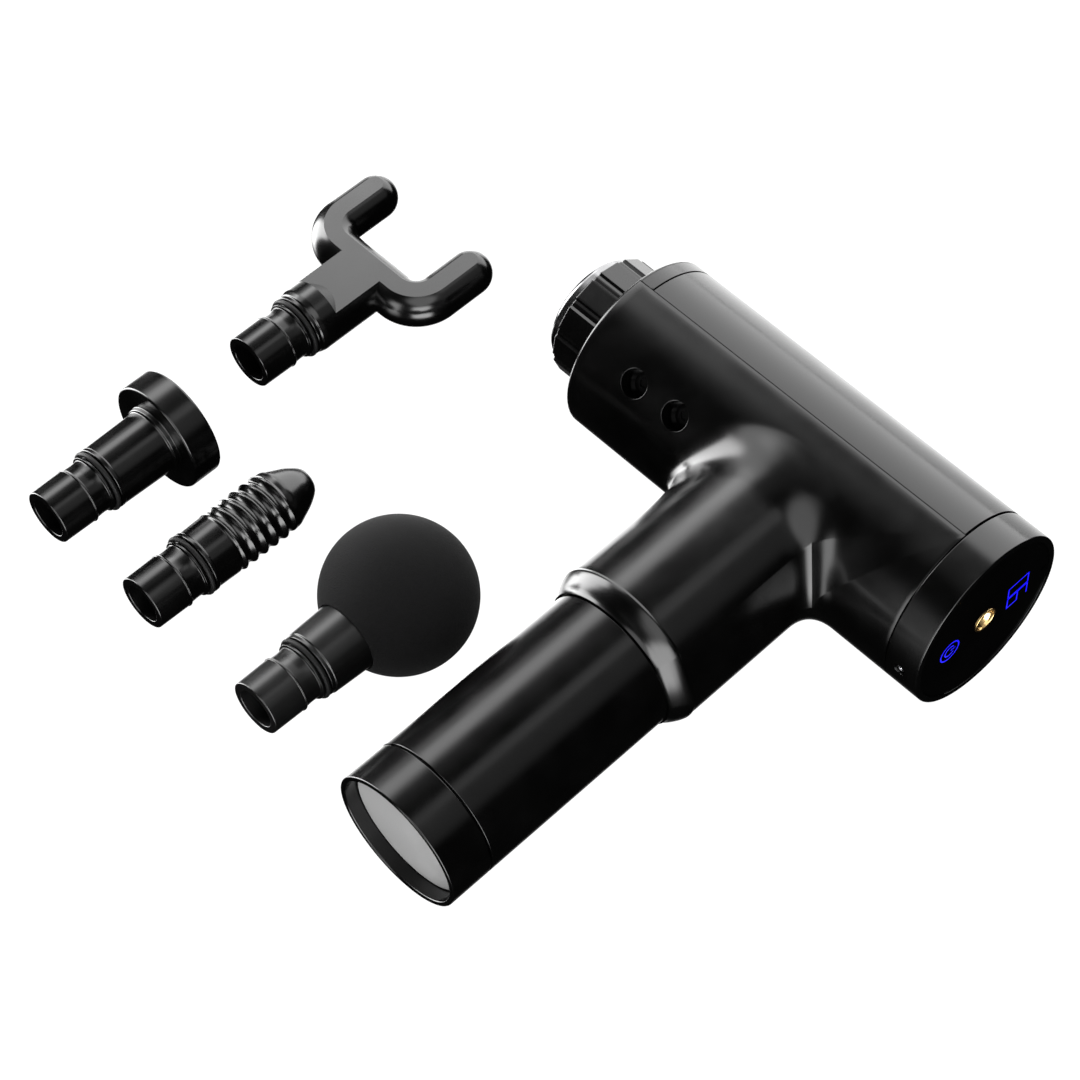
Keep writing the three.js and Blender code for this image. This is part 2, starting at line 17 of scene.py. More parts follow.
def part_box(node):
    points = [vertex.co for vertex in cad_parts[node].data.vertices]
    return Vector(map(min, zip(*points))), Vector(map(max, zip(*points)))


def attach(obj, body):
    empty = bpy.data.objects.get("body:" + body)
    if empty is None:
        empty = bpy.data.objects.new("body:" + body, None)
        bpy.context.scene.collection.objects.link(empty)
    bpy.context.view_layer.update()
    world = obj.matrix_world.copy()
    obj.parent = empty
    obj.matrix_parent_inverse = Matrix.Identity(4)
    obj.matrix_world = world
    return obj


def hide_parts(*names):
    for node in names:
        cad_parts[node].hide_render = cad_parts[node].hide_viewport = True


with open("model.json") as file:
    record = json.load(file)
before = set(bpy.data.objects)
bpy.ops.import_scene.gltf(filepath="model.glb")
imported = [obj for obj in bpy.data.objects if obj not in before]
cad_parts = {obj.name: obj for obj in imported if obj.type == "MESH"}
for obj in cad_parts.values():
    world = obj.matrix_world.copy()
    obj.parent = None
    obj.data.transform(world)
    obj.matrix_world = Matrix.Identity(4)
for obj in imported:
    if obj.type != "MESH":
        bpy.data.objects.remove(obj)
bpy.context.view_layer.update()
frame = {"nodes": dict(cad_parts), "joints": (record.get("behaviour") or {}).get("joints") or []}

MM = 0.001
TURN = 2 * math.pi

# ------------------------------------------------------------------ dimensions, millimetres
# Plain numbers such as BARREL_FRONT are places along a piece's axis: X for the barrel's pieces,
# Y for the handle's, and the distance from the plug end for a head's. Names in _R are radii.

BARREL_R = 28.0
BARREL_WALL = 2.3
BARREL_FRONT = -70.6
FRONT_RING_BACK = -65.0
COVER_FROM = -64.7
COVER_TO = 51.6
BODY_BACK = 51.9
CAP_FROM = 52.2
CAP_BACK = 63.3
PARTING_Y = 1.5
CRANK_BELOW_CROSSING = 9.0  # the crank joint's point, down the handle from the barrel's axis
SEAM_GAP = 0.1
FRONT_LIP = 1.2  # length of the rounding round the barrel's front
FRONT_SLOPE = 0.7  # its height for its length

NECK_R = 25.15
NECK_BLEND = 8.0  # reach of the fillet between neck and barrel
NECK_FOOT = -70.0
GRIP_R = 21.6
GRIP_TOP = -80.1
GRIP_FOOT = -145.1
END_CAP_TOP = -145.7
END_CAP_FOOT = -159.4
PLATE_TOP, PLATE_FOOT = -153.9, -155.1
# The collar at the foot of the neck, as (y, radius): a swell that dips to a groove under the neck.
COLLAR = [
    (-80.1, 22.2), (-79.6, 22.34), (-79.0, 22.65), (-78.3, 23.12),
    (-77.6, 23.6), (-76.8, 24.05), (-76.0, 24.48), (-75.2, 24.86),
    (-74.5, 25.12), (-74.1, 25.25), (-73.8, 25.3), (-73.45, 25.29),
    (-73.2, 25.12), (-72.9, 25.12), (-72.5, 25.15), (-71.4, 25.15),
]

WELL_R = 4.25
WELL_FLOOR = 21.7
WELL_ANGLE = math.radians(137)
WELL_X = (-50.5, -34.7)
SCREW_HEAD_R = 3.3
CAP_SCREW_X = 57.3
# A quarter round from face to side: (how far in from the edge, how far below the face), as shares.
QUARTER_ROUND = [(0.0, 1.0), (0.08, 0.62), (0.29, 0.29), (0.62, 0.08), (1.0, 0.0)]

NOSE_HOLE_R = 20.3
COLLAR_R = 19.6
COLLAR_FRONT = -84.8
FLUTES = 12
SLEEVE_R = 17.0
SLEEVE_FRONT = -89.0
SLEEVE_BACK = -60.0
SOCKET_R = 8.9
LINER_WALL = 1.6
FLUTE_DEPTH = 0.8

LENS_FRONT = 63.0
LENS_BACK = 61.3
LENS_R = 25.75
JACK_R = 4.1
DIGIT_LOW, DIGIT_HIGH = 9.3, 17.3
DIGIT_WIDTH = 4.3
DIGIT_STEP = 5.0
STROKE_WIDTH = 0.5
POWER_Y = -14.2
POWER_R = 3.6
MARK_SUNK, MARK_PROUD = 0.1, 0.01  # lit marks in the lens

PLUG_R = 8.4
RING_S = 18.3
BALL_R = 22.4
BALL_CENTRE = 52.65
BULLET_R = 9.9
DISC_R = 17.0
FORK_STEM_R = 10.4
FORK_BAR_R = 6.95
FORK_FLAT = 6.4
FORK_SPREAD = 20.6
FORK_BAR_S = 47.5
FORK_TIP_S = 69.4
FORK_SHOULDER_S = 27.5


# ------------------------------------------------------------------ frames

def gun_frame():
    """The gun's frame, from the crank's axis, which is the handle's axis, and a point on it."""
    crank = next(j for j in frame["joints"] if j["name"] == "crank_turn")
    axis = Vector(crank["axis"])
    droop = math.atan2(-axis.z, -axis.y)
    origin = Vector(crank["pos_m"]) - axis * CRANK_BELOW_CROSSING * MM
    return Matrix.Translation(origin) @ Matrix.Rotation(droop, 4, "X") @ Matrix.Scale(MM, 4)


def head_frame(node):
    low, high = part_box(node)
    origin = Vector(((low.x + high.x) / 2, low.y, (low.z + high.z) / 2))
    return Matrix.Translation(origin) @ Matrix.Scale(MM, 4)


GUN = gun_frame()


# ------------------------------------------------------------------ mesh helpers

def piece(name, corners, faces, place, sharp=35.0):
    """An object from corners in millimetres in the frame place, shaded smooth up to an angle."""
    mesh = bpy.data.meshes.new(name)
    mesh.from_pydata([place @ Vector(c) for c in corners], [], faces)
    made = bpy.data.objects.new(name, mesh)
    bpy.context.scene.collection.objects.link(made)
    tidy_normals(made, sharp)
    return made


def tidy_normals(made, sharp=35.0):
    working = bmesh.new()
    working.from_mesh(made.data)
    bmesh.ops.recalc_face_normals(working, faces=working.faces)
    working.to_mesh(made.data)
    working.free()
    made.data.shade_smooth()
    made.data.set_sharp_from_angle(angle=math.radians(sharp))


def even_normals(made):
    """Flat faces beside small roundings stay flat in the shading."""
    weighted = made.modifiers.new("even_normals", "WEIGHTED_NORMAL")
    weighted.keep_sharp = True
    return made


def soften(outline, steps=4):
    """Rounds the corners of an outline of (radius, along, rounding) points."""
    points = []
    count = len(outline)
    for index, corner in enumerate(outline):
        here = Vector(corner[:2])
        rounding = corner[2] if len(corner) > 2 else 0
        if not rounding or index in (0, count - 1):
            points.append(tuple(here))
            continue
        before = Vector(outline[index - 1][:2]) - here
        after = Vector(outline[index + 1][:2]) - here
        reach = min(rounding, 0.45 * before.length, 0.45 * after.length)
        for step in range(steps + 1):
            share = step / steps
            bend = before.normalized() * (1 - share) ** 2 + after.normalized() * share**2
            points.append(tuple(here + bend * reach))
    return points


def turned(name, outline, place, sides=96, ripple=None, sharp=35.0, along_x=False):
    """A closed solid turned about the frame's Y axis (or X). An outline that leaves the axis
    closes on itself. ripple(radius, along, angle) may move a point's radius."""
    points = soften(outline)
    on_axis = abs(points[0][0]) < 1e-9 and abs(points[-1][0]) < 1e-9
    corners, rows = [], []
    for radius, along in points:
        if abs(radius) < 1e-9:
            rows.append([len(corners)] * sides)
            corners.append((0, along, 0))
            continue
        row = []
        for side in range(sides):
            angle = TURN * side / sides
            out = ripple(radius, along, angle) if ripple else radius
            row.append(len(corners))
            corners.append((out * math.cos(angle), along, out * math.sin(angle)))
        rows.append(row)
    faces = []
    spans = len(rows) - 1 if on_axis else len(rows)
    for index in range(spans):
        low, high = rows[index], rows[(index + 1) % len(rows)]
        for side in range(sides):
            after = (side + 1) % sides
            loop = [low[side], low[after], high[after], high[side]]
            faces.append(list(dict.fromkeys(loop)))
    if along_x:
        corners = [(y, -x, z) for x, y, z in corners]
    return piece(name, corners, faces, place, sharp)


def lathe(*shape, **options):
    """A turned solid whose flat faces stay flat in the shading."""
    return even_normals(turned(*shape, **options))


def grid_solid(name, rows, place, wrap=True, sharp=35.0):
    """A closed surface from rings of corners, each joined to the next, and the last to the first."""
    corners = [tuple(c) for row in rows for c in row]
    width = len(rows[0])
    faces = []
    for index in range(len(rows) if wrap else len(rows) - 1):
        low, high = index * width, ((index + 1) % len(rows)) * width
        for side in range(width):
            after = (side + 1) % width
            faces.append([low + side, low + after, high + after, high + side])
    if not wrap:
        faces.append(list(range(width))[::-1])
        faces.append([(len(rows) - 1) * width + side for side in range(width)])
    return piece(name, corners, faces, place, sharp)


def cut_with(made, *tools, operation="DIFFERENCE", sharp=35.0):
    """Booleans made with each tool, which is then removed."""
    for tool in tools:
        change = made.modifiers.new("cut", "BOOLEAN")
        change.operation = operation
        change.solver = "EXACT"
        change.object = tool
        graph = bpy.context.evaluated_depsgraph_get()
        result = bpy.data.meshes.new_from_object(made.evaluated_get(graph))
        made.modifiers.clear()
        made.data = result
        bpy.data.objects.remove(tool)
    tidy_normals(made, sharp)
    return made


def joined(made, *others):
    """One object from several, each of which stays a closed island."""
    working = bmesh.new()
    for each in (made, *others):
        working.from_mesh(each.data)
    working.to_mesh(made.data)
    working.free()
    for each in others:
        bpy.data.objects.remove(each)
    tidy_normals(made)
    return made


def block(name, low, high, place):
    corners = [(x, y, z) for x in (low[0], high[0]) for y in (low[1], high[1]) for z in (low[2], high[2])]
    faces = [[0, 1, 3, 2], [4, 6, 7, 5], [0, 4, 5, 1], [2, 3, 7, 6], [0, 2, 6, 4], [1, 5, 7, 3]]
    return piece(name, corners, faces, place)


# ------------------------------------------------------------------ materials

def linked(tree, kind, **sockets):
    node = tree.nodes.new(kind)
    for name, value in sockets.items():
        socket = node.inputs[name.replace("_", " ")]
        if isinstance(value, bpy.types.NodeSocket):
            tree.links.new(value, socket)
        else:
            socket.default_value = value
    return node


def spread(tree, factor, low, high):
    """A number that runs from low to high as factor runs from 0.3 to 0.7."""
    node = tree.nodes.new("ShaderNodeMapRange")
    node.inputs["From Min"].default_value = 0.3
    node.inputs["From Max"].default_value = 0.7
    node.inputs["To Min"].default_value = low
    node.inputs["To Max"].default_value = high
    tree.links.new(factor, node.inputs["Value"])
    return node.outputs["Result"]


def finish_of(name, dark, light, rough, grain, bump, metallic=0.0, specular=0.5, coat=0.0,
              coat_rough=0.1, brushed=None):
    """A surface whose tint and roughness wander with a broad noise, and whose grain is raised by a
    fine one. grain is in features per metre, bump in metres."""
    look = bpy.data.materials.new(name)
    look.use_nodes = True
    tree = look.node_tree
    shader = tree.nodes["Principled BSDF"]
    where = tree.nodes.new("ShaderNodeTexCoord").outputs["Object"]
    if brushed:
        stretch = tree.nodes.new("ShaderNodeMapping")
        stretch.inputs["Scale"].default_value = brushed
        tree.links.new(where, stretch.inputs["Vector"])
        where = stretch.outputs["Vector"]
    broad = linked(tree, "ShaderNodeTexNoise", Vector=where, Scale=grain / 30, Detail=4.0)
    fine = linked(tree, "ShaderNodeTexNoise", Vector=where, Scale=grain, Detail=3.0, Roughness=0.6)
    tint = tree.nodes.new("ShaderNodeMix")
    tint.data_type = "RGBA"
    tree.links.new(spread(tree, broad.outputs["Fac"], 0, 1), tint.inputs["Factor"])
    tint.inputs["A"].default_value = (*dark, 1)
    tint.inputs["B"].default_value = (*light, 1)
    tree.links.new(tint.outputs["Result"], shader.inputs["Base Color"])
    wander = spread(tree, broad.outputs["Fac"], rough[0], rough[1])
    tree.links.new(wander, shader.inputs["Roughness"])
    if bump:
        raised = linked(tree, "ShaderNodeBump", Height=fine.outputs["Fac"], Strength=1.0, Distance=bump)
        tree.links.new(raised.outputs["Normal"], shader.inputs["Normal"])
    shader.inputs["Metallic"].default_value = metallic
    shader.inputs["Specular IOR Level"].default_value = specular
    shader.inputs["Coat Weight"].default_value = coat
    shader.inputs["Coat Roughness"].default_value = coat_rough
    return look


def grey(value):
    return (value, value, value)


def foam_look():
    """Closed-cell foam: matte black with fine pores."""
    look = finish_of("foam", (0.0011, 0.0011, 0.0012), (0.0018, 0.0018, 0.0019), (0.85, 0.95),
                     900, 0, specular=0.12)
    tree = look.node_tree
    shader = tree.nodes["Principled BSDF"]
    where = tree.nodes.new("ShaderNodeTexCoord").outputs["Object"]
    pores = linked(tree, "ShaderNodeTexVoronoi", Vector=where, Scale=2200.0)
    grain = linked(tree, "ShaderNodeTexNoise", Vector=where, Scale=3600.0, Detail=3.0)
    deep = linked(tree, "ShaderNodeBump", Height=pores.outputs["Distance"], Strength=0.6, Distance=0.00014)
    rough = linked(
        tree, "ShaderNodeBump", Height=grain.outputs["Fac"], Normal=deep.outputs["Normal"],
        Strength=0.6, Distance=0.0001,
    )
    tree.links.new(rough.outputs["Normal"], shader.inputs["Normal"])
    shader.inputs["Sheen Weight"].default_value = 0.012
    shader.inputs["Sheen Roughness"].default_value = 0.5
    return look


def glow_look():
    look = finish_of("display_blue", (0.0, 0.0, 0.1), (0.01, 0.01, 0.16), (0.3, 0.4), 4000, 0)
    shader = look.node_tree.nodes["Principled BSDF"]
    shader.inputs["Emission Color"].default_value = (0.005, 0.003, 1.0, 1)
    shader.inputs["Emission Strength"].default_value = 1.1
    return look


def board_look():
    """Solder mask with pale tracks in a square pattern."""
    look = finish_of("circuit_board", (0.01, 0.05, 0.02), (0.015, 0.08, 0.035), (0.3, 0.45), 3000, 0.00002)
    tree = look.node_tree
    shader = tree.nodes["Principled BSDF"]
    where = tree.nodes.new("ShaderNodeTexCoord").outputs["Object"]
    tracks = linked(
        tree, "ShaderNodeTexBrick", Vector=where, Scale=300.0, Color1=(0.01, 0.06, 0.025, 1),
        Color2=(0.015, 0.09, 0.04, 1), Mortar=(0.09, 0.2, 0.07, 1),
    )
    tree.links.new(tracks.outputs["Color"], shader.inputs["Base Color"])
    return look


def looks():
    """Every material, by the name that dress() and INNER use."""
    return {
        "housing": finish_of("housing_black", grey(0.0003), grey(0.0005),
                             (0.17, 0.23), 2600, 0.0000012, specular=0.3),
        "head": finish_of("head_black", grey(0.0003), grey(0.0005),
                          (0.17, 0.22), 2600, 0.0000012, specular=0.38),
        "satin": finish_of("head_satin", grey(0.0006), grey(0.001),
                           (0.27, 0.31), 2600, 0.000002, specular=0.42),
        "gloss": finish_of("display_gloss", grey(0.0002), grey(0.0004),
                           (0.03, 0.05), 1500, 0, specular=0.12),
        "rubber": finish_of("rubber", grey(0.0012), grey(0.0024), (0.5, 0.6), 3000, 0.00001, specular=0.15),
        "foam": foam_look(),
        "chrome": finish_of("nose_chrome", (0.13, 0.13, 0.132), (0.17, 0.17, 0.172),
                            (0.16, 0.22), 2000, 0.000001, metallic=1.0),
        "screw": finish_of("screw_steel", (0.5, 0.5, 0.51), (0.62, 0.62, 0.63),
                           (0.16, 0.24), 3000, 0.000002, metallic=1.0),
        # The housing screws are near black with little shine: painted shade for the dark bottoms of the
        # screw wells.
        "well_shade_screw": finish_of("well_shade_screw", grey(0.0004), grey(0.0008),
                                 (0.5, 0.6), 3000, 0.000004, specular=0.06),
        "steel": finish_of("bearing_steel", (0.3, 0.3, 0.31), (0.42, 0.42, 0.43),
                           (0.25, 0.4), 2500, 0.000005, metallic=1.0),
        "aluminium": finish_of("cast_aluminium", (0.4, 0.4, 0.41), (0.5, 0.5, 0.51),
                               (0.4, 0.55), 1800, 0.00003, metallic=1.0),
        "bush": finish_of("bush_brass", (0.4, 0.24, 0.08), (0.52, 0.32, 0.12),
                          (0.3, 0.45), 2000, 0.00001, metallic=1.0),
        "jack": finish_of("jack_gold", (0.4, 0.27, 0.11), (0.52, 0.37, 0.17),
                          (0.2, 0.3), 3000, 0.000002, metallic=1.0),
        "core": finish_of("motor_core", (0.3, 0.1, 0.04), (0.42, 0.16, 0.07),
                          (0.3, 0.45), 1800, 0.00003, metallic=1.0, brushed=(1, 8, 1)),
        "plate": finish_of("plate_grey", grey(0.162), grey(0.188),
                           (0.5, 0.62), 2600, 0.000006, specular=0.4),
        "nylon": finish_of("spacer_nylon", (0.5, 0.48, 0.42), (0.62, 0.6, 0.54), (0.45, 0.6), 1500, 0.00002),
        "board": board_look(),
        "chip": finish_of("chip_black", grey(0.01), grey(0.02), (0.5, 0.65), 4000, 0.00001),
        "cell": finish_of("cell_wrap", (0.02, 0.1, 0.32), (0.03, 0.14, 0.42), (0.25, 0.35), 1200, 0.00001),
        "wire": finish_of("wire_red", (0.3, 0.01, 0.01), (0.42, 0.02, 0.02), (0.35, 0.5), 2000, 0.00001),
        "glow": glow_look(),
    }


LOOK = looks()


def dress(made, look, slot, body, *nodes):
    """Gives a piece its material and its body, and hides the CAD nodes that it stands for; slot is not used.
    """
    made.data.materials.clear()
    made.data.materials.append(LOOK[look])
    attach(made, body)
    if nodes:
        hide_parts(*nodes)
    return made


# ------------------------------------------------------------------ housing

def smooth_step(value, low, high):
    share = np.clip((value - low) / (high - low), 0, 1)
    return share * share * (3 - 2 * share)


def skin_distance(points):
    """Distance outside barrel and neck, blended into each other below the parting line."""
    x, y, z = points[..., 0], points[..., 1], points[..., 2]
    barrel = np.hypot(y, z) - BARREL_R
    neck = np.hypot(x, z) - NECK_R
    fade_from, fade_to = -17.0, -1.0
    blend = np.maximum(NECK_BLEND * (1 - smooth_step(y, fade_from, fade_to)), 1e-4)
    overlap = np.clip(blend - np.abs(barrel - neck), 0, None) / blend
    return np.minimum(barrel, neck) - overlap * overlap * blend / 4


def skin_normals(points):
    small = 0.01
    slopes = []
    for axis in range(3):
        offset = np.zeros(3)
        offset[axis] = small
        slopes.append((skin_distance(points + offset) - skin_distance(points - offset)) / (2 * small))
    normals = np.stack(slopes, axis=-1)
    return normals / np.linalg.norm(normals, axis=-1, keepdims=True)


def onto_skin(points):
    for _ in range(12):
        points = points - skin_distance(points)[..., None] * skin_normals(points)
    return points


def body_rays():
    """Directions out from the neck over the unrolled barrel, with one to each corner."""
    top = BARREL_R * (math.pi / 2 + math.asin(PARTING_Y / BARREL_R))
    corners = [(x, s) for x in (BARREL_FRONT, BODY_BACK) for s in (-top, top)]
    exact = sorted(math.atan2(s, x) % TURN for x, s in corners)
    many, few, wide_span = 72, 48, math.pi / 2.2
    angles = []
    for index, start in enumerate(exact):
        end = exact[(index + 1) % 4] + (TURN if index == 3 else 0)
        count = many if end - start > wide_span else few
        angles += [start + (end - start) * step / count for step in range(count)]
    return np.array(angles), top


def unrolled_to_space(x, s, radius):
    angle = s / BARREL_R
    return np.stack([x, -radius * np.cos(angle), radius * np.sin(angle)], axis=-1)


def housing_rows():
    """Rings of corners from the foot of the neck, over the outside to the edge and back inside."""
    angles, top = body_rays()
    # Where each ray leaves the neck: the neck's circle, seen in the unrolled plane.
    around = np.linspace(0, TURN, 4001)
    edge_x = NECK_R * np.cos(around)
    edge_s = BARREL_R * np.arcsin(np.clip(NECK_R * np.sin(around) / BARREL_R, -1, 1))
    seen = np.unwrap(np.arctan2(edge_s, edge_x))
    turn = np.interp(angles, seen, around)
    inner_x, inner_s = NECK_R * np.cos(turn), BARREL_R * np.arcsin(NECK_R * np.sin(turn) / BARREL_R)

    edge_rounding, front_rounding = 0.12, FRONT_LIP
    to_x = np.where(np.cos(angles) > 0, BODY_BACK, BARREL_FRONT) / np.where(
        np.abs(np.cos(angles)) < 1e-9, 1e-9, np.cos(angles))
    to_s = top / np.maximum(np.abs(np.sin(angles)), 1e-9)
    reach = np.minimum(np.abs(to_x), to_s)
    outer_x, outer_s = reach * np.cos(angles), reach * np.sin(angles)

    def inset(share):
        """The edge, drawn in by a share of its rounding on each side."""
        front = BARREL_FRONT + front_rounding * share
        side = top - edge_rounding * share
        return (np.clip(outer_x, front, BODY_BACK - edge_rounding * share),
                np.clip(outer_s, -side, side))

    at_front = np.abs(outer_x - BARREL_FRONT) < 1e-6
    rounding = np.where(at_front, front_rounding, edge_rounding)

    rows = []
    for y, radius in COLLAR:
        rows.append(np.stack([radius * np.cos(turn), np.full_like(turn, y), radius * np.sin(turn)], -1))
    neck_top = -np.sqrt(BARREL_R**2 - (NECK_R * np.sin(turn)) ** 2)
    neck_steps = 26
    for step in range(neck_steps):
        share = 1 - (1 - step / neck_steps) ** 1.5
        y = NECK_FOOT + (neck_top - NECK_FOOT) * share
        rows.append(np.stack([NECK_R * np.cos(turn), y, NECK_R * np.sin(turn)], -1))
    last_x, last_s = inset(1.0)
    barrel_steps = 40
    for step in range(barrel_steps + 1):
        share = (step / barrel_steps) ** 1.7
        x = inner_x + (last_x - inner_x) * share
        s = inner_s + (last_s - inner_s) * share
        rows.append(unrolled_to_space(x, s, BARREL_R))
    first_free = len(COLLAR)
    rows[first_free:] = [onto_skin(row) for row in rows[first_free:]]

    rim = []
    for share, drop in QUARTER_ROUND[-2::-1]:
        x, s = inset(share)
        rim.append(unrolled_to_space(x, s, BARREL_R - drop * rounding * np.where(at_front, FRONT_SLOPE, 1)))
    inside = BARREL_R - BARREL_WALL
    rim.append(unrolled_to_space(outer_x, outer_s, inside))

    back = []
    for row in rows[first_free::3][::-1]:
        back.append(row - skin_normals(row) * BARREL_WALL)
    mouth_r = GRIP_R - 0.35
    for y in (NECK_FOOT, GRIP_TOP + 0.25):
        back.append(np.stack([mouth_r * np.cos(turn), np.full_like(turn, y), mouth_r * np.sin(turn)], -1))
    foot_r = mouth_r + 0.2
    back.append(np.stack([foot_r * np.cos(turn), np.full_like(turn, GRIP_TOP), foot_r * np.sin(turn)], -1))
    return rows + rim + back


def each_well():
    return [(x, side) for x in WELL_X for side in (1, -1)]


def well_frame(x, side):
    """A frame on the barrel's axis whose Y axis runs out through a well."""
    lean = Matrix.Translation((x, 0, 0)) @ Matrix.Rotation(side * WELL_ANGLE, 4, "X")
    return GUN @ lean


def well_tool(x, side):
    """A round cutter that points out of the barrel, flared to round the lip of what it cuts."""
    radius, floor, lip = WELL_R, WELL_FLOOR, 0.2
    sides, proud = 64, 3.0
    rows = []
    flare = [(0.0, -1.6), (0.08, -0.75), (0.3, -0.3), (0.75, -0.06), (1.6, 0.1)]
    shape = [(radius, floor, False)]
    shape += [(radius + lip * out, lip * height, True) for out, height in flare]
    shape.append((radius + lip * flare[-1][0], proud, True))
    for out, height, on_skin in shape:
        row = []
        for step in range(sides):
            angle = TURN * step / sides
            across, along = out * math.sin(angle), out * math.cos(angle)
            ground = math.sqrt(BARREL_R**2 - across**2) if on_skin else 0
            row.append((along, ground + height, across))
        rows.append(row)
    return grid_solid("well", rows, well_frame(x, side), wrap=False)


def build_housing():
    shell = grid_solid("housing_shell", housing_rows(), GUN)
    outer, low, high = WELL_R + 1.2, WELL_FLOOR - 1.5, 26.6
    outline = [(0, low), (outer, low), (outer, high), (0, high)]
    bosses = [turned("boss", outline, well_frame(x, side), sides=64) for x, side in each_well()]
    cut_with(shell, *bosses, operation="UNION")
    cut_with(shell, *[well_tool(x, side) for x, side in each_well()])
    inside, back, front = BARREL_R - BARREL_WALL, BARREL_FRONT + 2.6, BARREL_FRONT + 0.004
    wall = lathe(
        "nose_wall",
        [(NOSE_HOLE_R, back), (inside, back, 0.1), (inside, front), (NOSE_HOLE_R, front, 0.3)],
        GUN, along_x=True)
    joined(shell, wall)
    return dress(shell, "housing", "housing_black", "gun", "main_body")


def curved_panel(name, x_from, x_to, from_angle, thick, front_lip, lip, slope=1.0):
    """A piece of the barrel's wall over the top, from one side's angle (from +Y) to the other's."""
    spans_along, spans_round = 6, 96
    stations = [(x_from + front_lip * share, front_lip * drop * slope) for share, drop in QUARTER_ROUND]
    stations += [(x_from + (x_to - x_from) * step / spans_along, 0) for step in range(1, spans_along)]
    stations += [(x_to - lip * share, lip * drop) for share, drop in QUARTER_ROUND[::-1]]
    start, end = -from_angle, from_angle
    edge = lip / BARREL_R
    arc = [(start + edge * share, lip * drop) for share, drop in QUARTER_ROUND]
    arc += [(start + (end - start) * step / spans_round, 0) for step in range(1, spans_round)]
    arc += [(end - edge * share, lip * drop) for share, drop in QUARTER_ROUND[::-1]]
    rows = []
    for x, drop in stations:
        outer = [(a, BARREL_R - max(drop, low)) for a, low in arc]
        inner = [(a, BARREL_R - thick) for a, _ in arc[::-1]]
        rows.append([(x, r * math.cos(a), r * math.sin(a)) for a, r in outer + inner])
    corners = [c for row in rows for c in row]
    width, half = len(rows[0]), len(arc)
    faces = []
    for index in range(len(rows) - 1):
        low, high = index * width, (index + 1) * width
        for side in range(width):
            after = (side + 1) % width
            faces.append([low + side, low + after, high + after, high + side])
    for base in (0, (len(rows) - 1) * width):
        for side in range(half - 1):
            faces.append([base + side, base + side + 1, base + width - 2 - side, base + width - 1 - side])
    return even_normals(piece(name, corners, faces, GUN))


def build_cover():
    angle = math.pi / 2 - math.asin((PARTING_Y + SEAM_GAP) / BARREL_R)
    lip, cover_front_lip = 0.12, 0.2
    cover = curved_panel("cover", COVER_FROM, COVER_TO, angle, BARREL_WALL, cover_front_lip, lip)
    dress(cover, "housing", "housing_black", "gun", "top_cover")
    arc = curved_panel("front_arc", BARREL_FRONT, FRONT_RING_BACK - 0.1, angle, BARREL_WALL,
                       FRONT_LIP, lip, FRONT_SLOPE)
    dress(arc, "housing", "housing_black", "gun", "front_trim")


def build_rear_cap():
    inside, spigot, spigot_front, ledge = BARREL_R - 2.0, BARREL_R - 2.7, CAP_FROM - 4, LENS_BACK - 0.3
    outline = [
        (BARREL_R - 4.5, spigot_front), (spigot, spigot_front, 0.3), (spigot, CAP_FROM, 0.1),
        (BARREL_R, CAP_FROM, 0.3), (BARREL_R, CAP_BACK, 0.45), (inside, CAP_BACK, 0.12),
        (inside, ledge, 0.1), (inside - 1.8, ledge, 0.2),
    ]
    cap = turned("rear_shell", outline, GUN, sides=160, along_x=True)
    down = GUN @ Matrix.Translation((CAP_SCREW_X, 0, 0)) @ Matrix.Rotation(math.pi, 4, "X")
    hole = [(0, 26.1), (1.75, 26.1), (1.75, 27.75), (2.05, 28.3), (2.05, 30), (0, 30)]
    tool = turned("tool", hole, down, sides=40)
    even_normals(cut_with(cap, tool))
    dress(cap, "housing", "housing_black", "gun", "rear_cap")
    screw = screw_head("cap_screw_head", down, 26.4, 1.4, 1.1)
    dress(screw, "screw", "screw_steel", "gun", "cap_screw")


def screw_head(name, place, floor, radius, height):
    """A button head along +Y with a hexagonal recess."""
    top = floor + height
    outline = [(0, floor), (radius, floor, 0.1), (radius, top - height * 0.35, 0.3),
               (radius * 0.72, top, 0.3), (0, top)]
    head = turned(name, outline, place, sides=48)
    recess_r, recess_floor = radius * 0.45, top - height * 0.5
    hexagon = [(0, recess_floor), (recess_r, recess_floor), (recess_r, top + 1), (0, top + 1)]
    recess = turned("tool", hexagon, place, sides=6)
    return even_normals(cut_with(head, recess))


def build_screws():
    for x, side in each_well():
        number = WELL_X.index(x) + 1 + (0 if side > 0 else 2)
        place = well_frame(x, side)
        head = screw_head(f"shell_screw_{number}", place, WELL_FLOOR + 0.05, SCREW_HEAD_R, 0.8)
        # Each head takes the near-black painted shade of the deep well it sits in.
        dress(head, "well_shade_screw", "screw_steel", "gun", f"housing_screw_{number}")


# ------------------------------------------------------------------ nose

